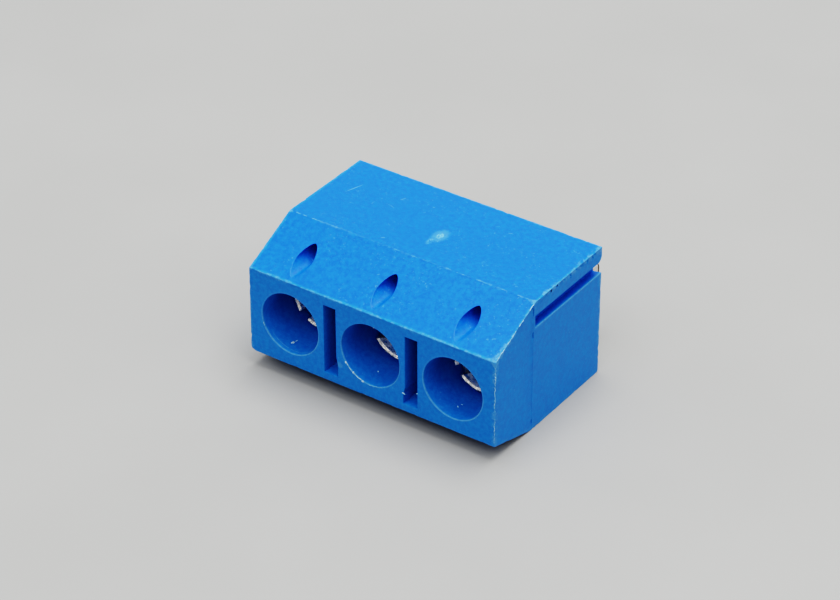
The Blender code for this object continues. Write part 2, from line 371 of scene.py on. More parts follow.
def housing_bmesh():
    outline = [
        (0.0, FRONT_LOW_Z),
        (0.0, FRONT_HIGH_Z),
        (SLOPE_TOP_Y, BODY_Z),
        (BODY_Y, BODY_Z),
        (BODY_Y, 0.0),
        (SLOPE_LOW_Y, 0.0),
    ]
    bm = bmesh.new()
    loft(bm, [[(x, y, z) for y, z in outline] for x in (-HALF_L, HALF_L)])

    # the front part of the right-hand end stands back a little from the rest
    front = bmesh.new()
    box(front, (HALF_L - STEP_X, -1.0, -1.0), (HALF_L + 1, STEP_Y, BODY_Z + 1.0))

    # the lower left corner of the screw face is rounded off
    corner = bmesh.new()
    rings = []
    for y in (-0.4, SLOPE_LOW_Y + 0.4):
        z = FRONT_LOW_Z * (1 - y / SLOPE_LOW_Y)
        arc = [(-HALF_L - 0.4, z - 0.4), (-HALF_L - 0.4, z + CORNER_R)]
        for k in range(9):
            t = math.radians(180 + 90 * k / 8)
            arc.append(
                (
                    -HALF_L + CORNER_R + CORNER_R * math.cos(t),
                    z + CORNER_R + CORNER_R * math.sin(t),
                )
            )
        arc.append((-HALF_L + CORNER_R, z - 0.4))
        rings.append([(a, y, b) for a, b in arc])
    loft(corner, rings)

    # short nicks where the mould halves met on the right-hand end
    nicks = bmesh.new()
    for z0, z1, w in ((6.88, 7.34, 0.05), (5.55, 5.92, 0.06), (0.42, 0.66, 0.05)):
        loft(
            nicks,
            [
                [
                    (HALF_L - d, STEP_Y - w * 0.6, z),
                    (HALF_L - d, STEP_Y + w * 0.4, z),
                    (HALF_L + 0.3, STEP_Y + w * 0.8, z),
                    (HALF_L + 0.3, STEP_Y - w, z),
                ]
                for z, d in ((z0, 0.03), ((z0 + z1) / 2, 0.08), (z1, 0.03))
            ],
        )

    # knocks along the edge between the back face and the right-hand end
    rng = random.Random(11)
    y = 4.9
    while y < 9.3:
        w, h, d = rng.uniform(0.05, 0.11), rng.uniform(0.10, 0.24), rng.uniform(0.03, 0.07)
        top = BODY_Z - rng.uniform(0.02, 0.07)
        loft(
            nicks,
            [
                [
                    (HALF_L - k * d, y - w * k, z),
                    (HALF_L - k * d * 0.6, y + w * k, z),
                    (HALF_L + 0.3, y + w * 1.2, z),
                    (HALF_L + 0.3, y - w * 1.2, z),
                ]
                for z, k in ((top - h, 0.35), (top - h * 0.5, 1.0), (top, 0.5))
            ],
        )
        y += w * 2.6 + rng.uniform(0.12, 0.55)

    extra = bmesh.new()
    for x in (-PITCH / 2, PITCH / 2):
        for z0, z1 in ((0.25, 1.05), (6.15, 7.05)):
            box(extra, (x - 0.6, BODY_Y - 0.25, z0), (x + 0.6, BODY_Y + 0.4, z1))
    mid, half = sum(GROOVE_Z) / 2, 0.24
    loft(
        extra,
        [
            [
                (-HALF_L + 0.2, y, mid - half),
                (-HALF_L - 0.45, y, mid - half - 0.08),
                (-HALF_L - 0.45, y, mid + half + 0.08),
                (-HALF_L + 0.2, y, mid + half),
            ]
            for y in (3.7, BODY_Y - 0.05)
        ],
    )

    cut = bmesh.new()
    for _, x in POLES:
        # bore, with the slight draft of a moulded hole
        rings = []
        small = 0.0 if x == 0.0 else 0.025
        for y, r in ((-1.0, BORE_R - small), (BORE_DEPTH + 0.1, BORE_R - small - 0.015)):
            rings.append(
                [
                    (x + r * math.cos(t), y, SCREW_Z - small + r * math.sin(t))
                    for t in (2 * math.pi * i / 96 for i in range(96))
                ]
            )
        loft(cut, rings)
        # probe pocket: a slightly pointed round section
        ring = []
        for i in range(56):
            t = 2 * math.pi * i / 56
            c, s = math.cos(t), math.sin(t)
            e = 2 / 1.62
            ring.append(
                (
                    math.copysign(abs(c) ** e, c) * POCKET_R,
                    math.copysign(abs(s) ** e, s) * POCKET_R,
                )
            )
        loft(cut, [[(x - 0.02 + a, y, POCKET_Z + b) for a, b in ring] for y in (-1.0, POCKET_END_Y)])
    # slots between the poles: the lower quarter of each is slightly askew
    for x, lean in ((-PITCH / 2, 0.11), (PITCH / 2, -0.11)):
        h = 0.375
        left = [(x - h, 5.41), (x - h, 2.3)]
        right = [(x + h, 5.41), (x + h, 2.55)]
        if lean > 0:
            left += [(x - h, 1.35)]
            right += [(x + h + lean, 1.95), (x + h + lean * 0.8, 1.35)]
        else:
            left += [(x - h + lean * 0.9, 2.0), (x - h + lean, 1.35)]
            right += [(x + h, 1.35)]
        ring = left + right[::-1]
        loft(cut, [[(a, y, b) for a, b in ring] for y in (-1.0, 3.9)])
    # dovetail groove with its quarter-round mouth
    lip = [
        (BODY_Y - 0.36 * (1 - math.sin(t)), GROOVE_Z[1] + 0.36 * (1 - math.cos(t)))
        for t in (math.radians(a) for a in range(0, 91, 10))
    ]
    outer = (
        [(3.5, GROOVE_Z[1])]
        + lip
        + [(BODY_Y + 0.5, GROOVE_Z[1] + 0.36), (BODY_Y + 0.5, GROOVE_Z[0])]
        + [(3.5, GROOVE_Z[0])]
    )
    k = 0.08 / GROOVE_DEPTH * 0.3
    rings = []
    for x, d in ((HALF_L - GROOVE_DEPTH, 0.08), (HALF_L, 0.0), (HALF_L + 0.3, -k)):
        rings.append([(x, y, z + (d if z > mid else -d)) for y, z in outer])
    loft(cut, rings)

    chambers = bmesh.new()
    for _, x in POLES:
        box(
            chambers,
            (x - CHAMBER_X, BORE_DEPTH, CHAMBER_Z[0]),
            (x + CHAMBER_X, BODY_Y + 1.0, CHAMBER_Z[1]),
        )

    entries = bmesh.new()
    for _, x in POLES:
        rings = []
        for z, hx, (y0, y1), r in (
            (-0.5, 1.95, (4.85, 8.95), 0.55),
            (0.0, 1.95, (4.85, 8.95), 0.55),
            (1.05, 1.50, (5.40, 8.60), 0.40),
            (1.70, 1.50, (5.40, 8.60), 0.40),
        ):
            shape = rounded([(-hx, y0), (hx, y0), (hx, y1), (-hx, y1)], r, 8)
            rings.append([(x + a, b, z) for a, b in shape])
        loft(entries, rings)

    bm = carve(
        bm,
        [
            ("DIFFERENCE", front),
            ("DIFFERENCE", corner),
            ("UNION", extra),
            ("DIFFERENCE", cut),
            ("DIFFERENCE", chambers),
            ("DIFFERENCE", entries),
            ("DIFFERENCE", nicks),
        ],
    )

    def keep(e):
        a, b = e.link_faces
        if not (on_skin(a) or on_skin(b)):
            # the feet, the tongue and the groove are rounded too
            c = (e.verts[0].co + e.verts[1].co) / 2
            return c.y > BODY_Y + 0.01 or c.x < -HALF_L - 0.01
        # the faint parting step is too small to round
        c = (e.verts[0].co + e.verts[1].co) / 2
        if abs(c.y - STEP_Y) < 1e-3 and abs(e.verts[0].co.y - e.verts[1].co.y) < 1e-3:
            if abs(abs(c.x) - HALF_L) < STEP_X + 1e-3:
                return False
        return True

    round_edges(bm, keep, 0.030, 2, step=0.13)
    return bm


def wobble(bm):
    """Mould draft on the left end, and wear that nicks the outer edges."""
    for v in bm.verts:
        if v.co.x < -HALF_L + 0.1 and v.co.y < BODY_Y + 0.01:
            v.co.x -= 0.075 * (1 - v.co.z / BODY_Z)
    for v in bm.verts:
        d = sorted(inside_distances(v.co))
        if d[0] > 0.12 or d[1] > 0.12:
            continue
        p = v.co
        wander = noise.noise(p * 1.7) * 0.008 + noise.noise(p * 5.3) * 0.006
        nick = max(0.0, noise.noise(p * 3.1 + Vector((7, 3, 1))) - 0.24) * 0.08
        if p.x > 7.2 and (p.z > 7.3 or p.y < 0.2 or p.z > 6.0):
            nick = max(0.0, noise.noise(p * 2.6 + Vector((7, 3, 1))) - 0.10) * 0.16
        n = Vector((0.0, 0.0, 0.0))
        for (pn, k), dist in zip(PLANES, inside_distances(p)):
            if dist < 0.12:
                n -= pn
        n.normalize()
        v.co = p + n * (nick + wander)


def burr(bm, points, direction, height, width=0.035, rough=0.6, slot=1):
    """A thin ragged wedge of flash standing on a path: a closed strip."""
    rows = []
    n = len(points)
    for i, p in enumerate(points):
        p = Vector(p)
        q = Vector(points[min(i + 1, n - 1)]) - Vector(points[max(i - 1, 0)])
        d = direction(i) if callable(direction) else Vector(direction)
        d = d.normalized()
        side = q.normalized().cross(d).normalized()
        end = min(1.0, 4.0 * min(i, n - 1 - i) / n + 0.05)
        h = height * end * (1 - rough + rough * 2 * random.random())
        jig = side * (random.random() - 0.5) * width
        rows.append(
            [
                bm.verts.new(p + side * width / 2 - d * 0.02),
                bm.verts.new(p + d * h + jig),
                bm.verts.new(p - side * width / 2 - d * 0.02),
            ]
        )
    faces = []
    for a, b in zip(rows, rows[1:]):
        for i in range(3):
            j = (i + 1) % 3
            faces.append(bm.faces.new((a[i], a[j], b[j], b[i])))
    faces.append(bm.faces.new(rows[0][::-1]))
    faces.append(bm.faces.new(rows[-1]))
    for f in faces:
        f.material_index = slot
    return faces


def fleck(bm, centre, size, normal, slot=1):
    """A crumb of plastic: a squashed, uneven little body."""
    n = Vector(normal).normalized()
    r = bmesh.ops.create_icosphere(bm, subdivisions=2, radius=1.0)
    turn = n.to_track_quat("Z", "Y").to_matrix()
    spin = Matrix.Rotation(random.random() * 6.28, 3, "Z")
    for v in r["verts"]:
        k = 1 + 0.45 * noise.noise(v.co * 1.6 + Vector(centre))
        p = Vector((v.co.x * size[0], v.co.y * size[1], v.co.z * size[2])) * k
        v.co = Vector(centre) + turn @ (spin @ p)
    for v in r["verts"]:
        for f in v.link_faces:
            f.material_index = slot


def line_points(a, b, step, wander=0.01):
    a, b = Vector(a), Vector(b)
    n = max(3, int((b - a).length / step))
    out = []
    for i in range(n + 1):
        p = a.lerp(b, i / n)
        p += Vector([random.uniform(-wander, wander) for _ in range(3)])
        out.append(p)
    return out


# --------------------------------------------------------------- materials
BLUE = (0.0022, 0.165, 0.58)
# pale colour for rubbed edges and marks, also carrying the painted highlight on the lower bore rims
WEAR_AND_HIGHLIGHT = (0.085, 0.245, 0.50)


def housing_material():
    n = Nodes("housing_nylon")
    p = n.object_mm(SHIFT)
    x, y, z = n.split(p)

    # closeness to the outer edges: 1 on an edge, 0 away from it
    fine = n.noise(p, 9.0, 4.0, 0.65)
    ragged = n.noise(p, 3.2, 3.0, 0.7)
    reach = n.smooth(ragged, 0.36, 0.66, 0.030, 0.110)
    reach = n.mul(reach, n.smooth(x, 7.0, 7.35, 1.0, 2.1))
    on_ridge = n.mul(n.smooth(z, 7.2, 7.5), n.smooth(y, 4.4, 4.0))
    reach = n.mul(reach, n.sub(1.0, n.mul(on_ridge, 0.60)))
    total = None
    for pn, k in PLANES:
        d = n.math(
            "SUBTRACT",
            k,
            n.add(n.mul(x, pn.x), n.mul(y, pn.y), n.mul(z, pn.z)),
        )
        d = n.math("ABSOLUTE", d)
        e = n.math("EXPONENT", n.mul(n.math("DIVIDE", d, reach), -1.0))
        total = e if total is None else n.add(total, e)
    edge = n.smooth(n.sub(total, 1.0), 0.12, 0.60)
    # the right-hand end has had the most knocks
    broken = n.smooth(n.noise(p, 2.1, 3.0, 0.6), 0.38, 0.60, 0.42, 1.0)
    edge = n.mul(edge, n.math("MAXIMUM", broken, n.smooth(x, 7.0, 7.4, 0.0, 1.0)))
    # the edge between slope and back face is rubbed only towards its ends
    quiet = n.mul(
        n.smooth(x, -5.9, -5.2),
        n.smooth(x, 3.4, 1.8),
        n.smooth(z, 7.2, 7.5),
        n.smooth(y, 4.4, 4.0),
    )
    spots = n.smooth(n.noise(p, 0.9, 2.0, 0.5), 0.50, 0.60, 0.75, 0.1)
    edge = n.mul(edge, n.sub(1.0, n.mul(quiet, spots)))
    edge = n.mul(edge, n.smooth(fine, 0.36, 0.60, 0.35, 1.0))
    # below z = 1.6 the pale edges fade, to about a third near the bottom
    edge = n.mul(edge, n.smooth(z, 0.9, 1.6, 0.35, 1.0))

    # the lower lip of the groove is rubbed pale
    lip = n.smooth(n.math("ABSOLUTE", n.sub(z, GROOVE_Z[0] - 0.03)), 0.065, 0.02)
    lip = n.mul(lip, n.smooth(x, HALF_L - 0.10, HALF_L - 0.05), n.smooth(y, 3.4, 3.6))
    lip = n.mul(lip, n.smooth(fine, 0.34, 0.58, 0.35, 1.0), 0.85)
    edge = n.math("MAXIMUM", edge, lip)

    # pale rims of the screw bores, strongest along their lower side: wear, with a painted highlight where the
    # lower rims catch the light
    wrap = n.math("WRAP", x, PITCH / 2, -PITCH / 2)
    r = n.math(
        "SQRT",
        n.add(n.mul(wrap, wrap), n.math("POWER", n.sub(z, SCREW_Z), 2.0)),
    )
    rim = n.smooth(n.math("ABSOLUTE", n.sub(r, BORE_R + 0.01)), 0.055, 0.02)
    rim = n.mul(rim, n.smooth(y, 0.10, 0.04), n.smooth(z, 4.4, 2.8, 0.25, 1.0))
    rim = n.mul(rim, n.smooth(fine, 0.30, 0.60, 0.35, 1.0))

    # small pale rub marks and specks, thinly spread
    specks = n.smooth(n.noise(p, 6.0, 3.0, 0.78), 0.60, 0.70)
    drift = n.smooth(n.noise(p, 0.55, 1.0, 0.5), 0.40, 0.62, 0.15, 1.0)
    specks = n.mul(specks, drift, 0.65)

    # scratches on the back face: two fixed strokes and a few hairlines
    def stroke(ax, ay, bx, by, half, strength):
        """A soft line between two points of the z = BODY_Z face."""
        length = math.hypot(bx - ax, by - ay)
        ux, uy = (bx - ax) / length, (by - ay) / length
        dx, dy = n.sub(x, ax), n.sub(y, ay)
        along = n.add(n.mul(dx, ux), n.mul(dy, uy))
        across = n.math("ABSOLUTE", n.sub(n.mul(dy, ux), n.mul(dx, uy)))
        wave = n.mul(n.sub(n.noise(p, 1.1, 1.0, 0.5), 0.5), 0.10)
        across = n.math("ABSOLUTE", n.add(across, wave))
        m = n.smooth(across, half, half * 0.35)
        m = n.mul(m, n.smooth(along, 0.0, 0.15 * length), n.smooth(along, length, 0.8 * length))
        return n.mul(m, n.smooth(z, BODY_Z - 0.1, BODY_Z - 0.03), strength)

    marks = stroke(-6.30, 6.42, -5.86, 7.75, 0.032, 0.80)
    for args in (
        (-4.42, 6.35, -4.45, 6.72, 0.030, 0.50),
        (-4.45, 6.68, -4.33, 7.05, 0.028, 0.45),
        (-3.85, 6.82, -3.50, 6.80, 0.032, 0.50),
        (-3.55, 6.82, -3.18, 6.66, 0.040, 0.60),
        (-3.42, 7.50, -3.27, 7.86, 0.035, 0.50),
        (-2.15, 3.98, -1.95, 4.12, 0.060, 0.60),
        (-1.60, 3.80, -1.15, 3.95, 0.035, 0.45),
        (2.90, 8.00, 3.15, 8.10, 0.035, 0.60),
        (2.02, 8.10, 2.22, 8.34, 0.030, 0.40),
    ):
        marks = n.math("MAXIMUM", marks, stroke(*args))
    # a scuff on the screw face between the first slot and the middle bore
    sx, sz = n.sub(x, -1.95), n.sub(z, 2.15)
    sd = n.math("SQRT", n.add(n.mul(sx, sx), n.mul(sz, sz, 2.5)))
    sd = n.add(sd, n.mul(n.sub(n.noise(p, 4.0, 3.0, 0.7), 0.5), 0.45))
    scuff = n.mul(n.smooth(sd, 0.34, 0.14), n.smooth(y, 0.08, 0.03), 0.55)
    marks = n.math("MAXIMUM", marks, scuff)
    hair = n.stretch(p, (0.5, 6.5, 6.5), rotation=(0.0, 0.0, 0.45))
    hair = n.mul(n.smooth(n.noise(hair, 2.6, 2.0, 0.6), 0.70, 0.745), 0.16)

    # the sprue's gate on the back face: a whitened, torn spot with faint rings
    gx, gy = n.sub(x, 0.24), n.sub(y, 5.82)
    gd = n.math("SQRT", n.add(n.mul(gx, gx, 2.3), n.mul(gy, gy, 1.15)))
    ring = n.smooth(n.math("COSINE", n.mul(gd, 30.0)), -0.6, 0.8, 0.55, 1.0)
    gd = n.add(gd, n.mul(n.sub(n.noise(p, 4.5, 4.0, 0.75), 0.5), 0.50))
    on_back = n.smooth(z, BODY_Z - 0.1, BODY_Z - 0.03)
    gate = n.mul(n.smooth(gd, 0.50, 0.16), on_back)
    halo = n.mul(n.smooth(gd, 0.80, 0.40), on_back, 0.20)
    tail = n.math(
        "SQRT", n.add(n.mul(n.sub(x, 0.08), n.sub(x, 0.08), 4.0), n.math("POWER", n.sub(y, 5.15), 2.0))
    )
    tail = n.mul(n.smooth(tail, 0.45, 0.15), on_back, n.smooth(fine, 0.42, 0.60, 0.05, 0.40))
    gate_grain = n.smooth(n.noise(p, 9.0, 3.0, 0.75), 0.38, 0.60, 0.30, 1.0)
    gate_light = n.math("MAXIMUM", n.mul(gate, gate_grain, ring), n.math("MAXIMUM", halo, tail))

    # pale draw marks just inside the left-hand bore
    band = n.smooth(n.math("ABSOLUTE", n.sub(y, 0.27)), 0.035, 0.010)
    band = n.mul(band, n.smooth(x, -3.0, -3.2), n.smooth(z, 2.35, 2.15), n.smooth(fine, 0.36, 0.56, 0.1, 0.7))
    marks = n.math("MAXIMUM", marks, band)

    # soft mottling of the moulded surface
    mottle = n.smooth(n.noise(p, 4.2, 4.0, 0.7), 0.30, 0.72)
    broad = n.smooth(n.noise(p, 0.35, 1.0, 0.5), 0.30, 0.70)
    base = n.mix(mottle, (0.0004, 0.083, 0.450), (0.0030, 0.123, 0.535))
    base = n.mix(n.mul(broad, 0.35), base, (0.0006, 0.092, 0.466))
    # painted sheen: a greener, paler tint on the upright faces and bore walls, chosen to match their colours
    # under this light, not a known difference in the real moulding
    painted_sheen_mask = n.math(
        "MAXIMUM",
        n.smooth(n.math("ABSOLUTE", x), HALF_L - 0.16, HALF_L - 0.10),
        n.math("MAXIMUM", n.smooth(y, 0.15, 0.09), n.smooth(y, BODY_Y - 0.10, BODY_Y - 0.05)),
    )
    inner = n.mul(n.smooth(y, 2.6, 2.2), n.smooth(z, 5.8, 5.6), 0.75)
    painted_sheen_mask = n.math("MAXIMUM", painted_sheen_mask, inner)
    painted_sheen_colour = n.mix(mottle, (0.0050, 0.122, 0.440), (0.0100, 0.168, 0.515))
    base = n.mix(painted_sheen_mask, base, painted_sheen_colour)
    # painted shade: a darker tint deep in the bores, strongest towards their upper walls, also only a match
    # of colour
    painted_bore_shade = n.mul(
        n.smooth(y, 0.25, 2.0),
        n.smooth(r, BORE_R + 0.06, BORE_R + 0.02),
        n.smooth(n.math("ABSOLUTE", x), HALF_L, HALF_L - 0.05),
        n.smooth(z, 2.3, 4.0, 0.15, 1.35),
    )
    base = n.mix(n.mul(painted_bore_shade, 0.6), base, (0.0002, 0.030, 0.230))

    # pale gathers rubbed edges, marks and the painted highlight on the lower bore rims
    pale = n.math("MAXIMUM", n.math("MAXIMUM", edge, rim), n.add(specks, hair, marks), clamp=True)
    colour = n.mix(n.mul(pale, 0.80), base, WEAR_AND_HIGHLIGHT)
    colour = n.mix(gate_light, colour, (0.14, 0.40, 0.60))
    n.set("Base Color", colour)
    rough = n.add(0.38, n.mul(mottle, 0.10), n.mul(pale, 0.12), n.mul(gate, 0.10))
    n.set("Roughness", rough)
    n.bsdf.inputs["IOR"].default_value = 1.5
    n.bsdf.inputs["Specular IOR Level"].default_value = 0.22
    n.bsdf.inputs["Subsurface Weight"].default_value = 0.0
    h = n.add(
        n.mul(marks, -0.6),
        n.mul(n.noise(p, 16.0, 3.0, 0.65), 0.6),
        n.mul(n.noise(p, 5.0, 2.0, 0.6), 0.5),
        n.mul(edge, 0.5),
        n.mul(gate, n.noise(p, 7.0, 3.0, 0.7), 3.0),
    )
    n.set("Normal", n.bump(h, 0.55, 0.012))
    return n.mat


def flash_material():
    """Stress-whitened nylon on burrs and crumbs."""
    n = Nodes("whitened_nylon")
    p = n.object_mm(SHIFT)
    f = n.smooth(n.noise(p, 8.0, 3.0, 0.6), 0.35, 0.65)
    n.set("Base Color", n.mix(f, (0.12, 0.32, 0.56), (0.42, 0.58, 0.70)))
    n.set("Roughness", n.add(0.42, n.mul(f, 0.2)))
    n.set("Normal", n.bump(n.noise(p, 20.0, 2.0, 0.6), 0.4, 0.01))
    return n.mat


def metal_material(
    name, light, dark, rough, scale, streak=(1.0, 1.0, 1.0), tint=None, dents=0.008, cut=None, polish=-0.06
):
    n = Nodes(name)
    p = n.object_mm(SHIFT)
    s = n.stretch(p, streak)
    grain = n.noise(s, scale, 4.0, 0.65)
    patches = n.smooth(n.noise(p, 1.6, 2.0, 0.6), 0.35, 0.68)
    colour = n.mix(n.smooth(grain, 0.30, 0.70), dark, light)
    if tint:
        colour = n.mix(n.mul(patches, 0.45), colour, tint)
    painted_tip_shade = 0.0
    if cut:
        # painted shade: from y = cut on, the pin's end is coloured dark brown and made rougher, standing in
        # for its shadowed end chamfer
        painted_tip_shade = n.smooth(n.add(n.split(p)[1], n.mul(n.sub(grain, 0.5), 0.10)), cut, cut + 0.07)
        colour = n.mix(painted_tip_shade, colour, (0.045, 0.030, 0.018))
    n.set("Base Color", colour)
    n.bsdf.inputs["Metallic"].default_value = 1.0
    burnish = n.smooth(n.noise(p, 3.4, 3.0, 0.7), 0.44, 0.58)
    n.set(
        "Roughness",
        n.add(rough, n.mul(grain, 0.12), n.mul(burnish, -polish), n.mul(painted_tip_shade, 0.15)),
    )
    n.set("Normal", n.bump(grain, 0.45, dents))
    return n.mat


# ------------------------------------------------------------------ pieces
def pull_back(bm):
    """Merge away any rounded corner that overshot the floor plane."""
    low = [v for v in bm.verts if v.co.z < -0.02]
    for v in low:
        ends = [e.other_vert(v) for e in v.link_edges]
        ends = [o for o in ends if o.co.z > -0.02]
        if ends:
            v.co = min(ends, key=lambda o: (o.co - v.co).length).co
    bmesh.ops.remove_doubles(bm, verts=bm.verts, dist=1e-5)


def make_housing():
    bm = housing_bmesh()
    pull_back(bm)
    wobble(bm)
    # flash along the right-hand upright edge of the screw face
    x = HALF_L - STEP_X - 0.02
    burr(bm, line_points((x, 0.015, 1.15), (x, 0.015, 2.7), 0.09, 0.024), (0.5, -0.8, 0), 0.035, 0.03)
    burr(bm, line_points((x, 0.015, 3.0), (x, 0.015, 5.8), 0.09, 0.024), (0.5, -0.8, 0), 0.045, 0.03)
    # and where the slope meets the right-hand end
    a = Vector((x, 0.08, FRONT_HIGH_Z + 0.03))
    b = Vector((x, SLOPE_TOP_Y - 0.1, BODY_Z - 0.06))
    for t0, t1, h in ((0.0, 0.22, 0.05), (0.30, 0.52, 0.035), (0.60, 0.72, 0.04), (0.86, 0.99, 0.05)):
        burr(bm, line_points(a.lerp(b, t0), a.lerp(b, t1), 0.08), (0.6, -0.2, 0.7), h, 0.03)
    # torn flash round the lower left of the middle bore
    def rim_path(xc, a0, a1, step=5):
        pts = []
        for d in range(a0, a1, step):
            t = math.radians(d)
            r = BORE_R + 0.01 + random.uniform(-0.012, 0.012)
            pts.append((xc + r * math.cos(t), 0.01, SCREW_Z + r * math.sin(t)))
        return pts

    burr(bm, rim_path(0.0, 212, 258, 3), (0.25, -0.9, 0.3), 0.030, 0.028, 0.8)
    burr(bm, rim_path(0.0, 260, 300, 3), (0.1, -0.9, 0.3), 0.018, 0.02, 0.8)
    burr(bm, rim_path(-PITCH, 196, 206, 2), (0.3, -0.9, 0.2), 0.05, 0.04, 0.8)
    # crumbs
    for c, s, nn in CRUMBS:
        fleck(bm, c, s, nn)
    obj = finish_mesh(
        "housing_moulding", bm, [housing_material(), flash_material()], 32
    )
    weighted(obj)
    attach(obj, "housing_body")
    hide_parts("housing")
    return obj


def wall_point(xc, angle, depth, lift=0.0):
    t = math.radians(angle)
    r = BORE_R - lift
    return (xc + r * math.cos(t), depth, SCREW_Z + r * math.sin(t))


def inward(angle):
    t = math.radians(angle)
    return (-math.cos(t), 0.0, -math.sin(t))


CRUMBS = [
    (wall_point(-PITCH, 255.6, 0.75, 0.01), (0.11, 0.07, 0.035), inward(255)),
    (wall_point(-PITCH, 257.3, 1.02, 0.00), (0.03, 0.10, 0.02), inward(257)),
    (wall_point(0.0, 258.9, 1.15, 0.01), (0.05, 0.04, 0.03), inward(259)),
    (wall_point(PITCH, 260.1, 0.93, 0.01), (0.07, 0.03, 0.03), inward(260)),
    (wall_point(PITCH, 262.0, 1.20, 0.01), (0.02, 0.05, 0.02), inward(262)),
    ((PITCH / 2 - 0.46, 0.0, 1.98), (0.10, 0.03, 0.03), (0, -1, 0)),
    ((PITCH / 2 + 0.36, 0.02, 2.28), (0.05, 0.03, 0.04), (0, -1, 0)),
    ((-1.50, -0.02, SCREW_Z - 0.97), (0.065, 0.05, 0.04), (0, -1, 0)),
    ((-1.03, -0.02, SCREW_Z - 1.42), (0.05, 0.07, 0.04), (0, -1, 0)),
    ((-0.47, -0.02, SCREW_Z - 1.72), (0.07, 0.05, 0.035), (0, -1, 0)),
]


def make_screw(label, xc, mat):
    """A slotted screw with a rolled right-hand thread, turned as one surface."""
    seg = 72
    length = SCREW_TIP_Y - HEAD_TOP_Y
    c = 0.075
    dish = 0.07
    prof = [(dish, 0.02), (dish, 0.6), (dish - 0.005, HEAD_R - 0.30)]
    for k in range(4):  # the floor of the dish sweeps up to the rim
        t = math.radians(65 * k / 3)
        prof.append((dish - 0.09 * (1 - math.cos(t)), HEAD_R - 0.24 + 0.09 * math.sin(t)))
    for k in range(8):  # rolled rim
        t = math.radians(-60 + 150 * k / 7)
        prof.append((c - c * math.cos(t), HEAD_R - c + c * math.sin(t)))
    prof += [(0.45, HEAD_R), (HEAD_H - 0.06, HEAD_R), (HEAD_H, HEAD_R - 0.06)]
    prof += [(HEAD_H, SHANK_R + 0.15), (HEAD_H + 0.02, SHANK_R - 0.12)]
    bm = bmesh.new()
    rows = []

    def ring(y_of, r_of):
        rows.append(
            [
                bm.verts.new(
                    (
                        xc + r_of(t) * math.cos(t),
                        HEAD_TOP_Y + y_of,
                        SCREW_Z + r_of(t) * math.sin(t),
                    )
                )
                for t in (2 * math.pi * i / seg for i in range(seg))
            ]
        )

    for y, r in prof:
        ring(y, lambda t, r=r: r)
    y = HEAD_H + 0.06
    end = length - 0.30
    root, crest = SHANK_R - 0.24, SHANK_R - 0.01
    while y < end:
        def r_of(t, y=y):
            # seen from the head, a right-hand thread goes deeper clockwise;
            # x right and z up there, so clockwise is falling t
            phase = (y / THREAD_PITCH + t / (2 * math.pi)) % 1.0
            tri = abs(phase * 2 - 1)
            lead = min(1.0, max(0.0, (y - HEAD_H - 0.15) / 0.35))
            out = min(1.0, max(0.0, (end - y) / 0.30))
            h = min(1.0, max(0.0, (tri - 0.10) / 0.72))
            return root + (crest - root) * h * lead * out
        ring(y, r_of)
        y += THREAD_PITCH / 9
    for y, r in ((end + 0.02, root), (length - 0.06, root - 0.14), (length, root - 0.30)):
        ring(y, lambda t, r=r: r)
    for a, b in zip(rows, rows[1:]):
        for i in range(seg):
            j = (i + 1) % seg
            bm.faces.new((a[i], a[j], b[j], b[i]))
    bm.faces.new(rows[0][::-1])
    bm.faces.new(rows[-1])

    slot = bmesh.new()
    ang = math.radians(DRIVE_ANGLE[label])
    w0, w1 = 0.30, 0.27
    u = Vector((math.cos(ang), 0, math.sin(ang)))
    v = Vector((-math.sin(ang), 0, math.cos(ang)))
    o = Vector((xc, HEAD_TOP_Y, SCREW_Z))
    rings = []
    for s in (-HEAD_R - 0.4, HEAD_R + 0.4):
        ring2 = []
        for d, w in ((-0.3, w0), (0.44, w1), (0.50, w1 - 0.07)):
            ring2.append(o + u * s + v * w + Vector((0, d, 0)))
        for d, w in ((0.50, w1 - 0.07), (0.44, w1), (-0.3, w0)):
            ring2.append(o + u * s - v * w + Vector((0, d, 0)))
        rings.append(ring2)
    loft(slot, rings)
    bm = carve(bm, [("DIFFERENCE", slot)])

    def keep(e):
        p = (e.verts[0].co + e.verts[1].co) / 2
        if p.y > HEAD_TOP_Y + HEAD_H - 0.08:
            return False
        side = abs((p - o).dot(v))
        return side < w0 + 0.01 and e.calc_face_angle(0.0) > math.radians(35)

    round_edges(bm, keep, 0.03, 2)
    # dents round the rim
    for vert in bm.verts:
        q = vert.co - o
        if q.y < 0.12 and math.hypot(q.x, q.z) > HEAD_R - 0.3:
            k = noise.noise(Vector((q.x * 2.2 + xc, q.y, q.z * 2.2 + 3)))
            vert.co.y += 0.035 * max(-0.2, k) + 0.02 * noise.noise(vert.co * 4.5)
    # raised metal thrown up beside the slot by drivers
    for vert in bm.verts:
        q = vert.co - o
        if q.y < 0.2 and abs(abs(q.dot(v)) - w0) < 0.12:
            vert.co.y += noise.noise(vert.co * 2.3 + Vector((xc, 0, 5))) * 0.02
    obj = finish_mesh(f"clamp_screw_{label}", bm, [mat], 35)
    weighted(obj)
    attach(obj, f"screw_{label}_body")
    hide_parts(f"screw_{label}")
    return obj


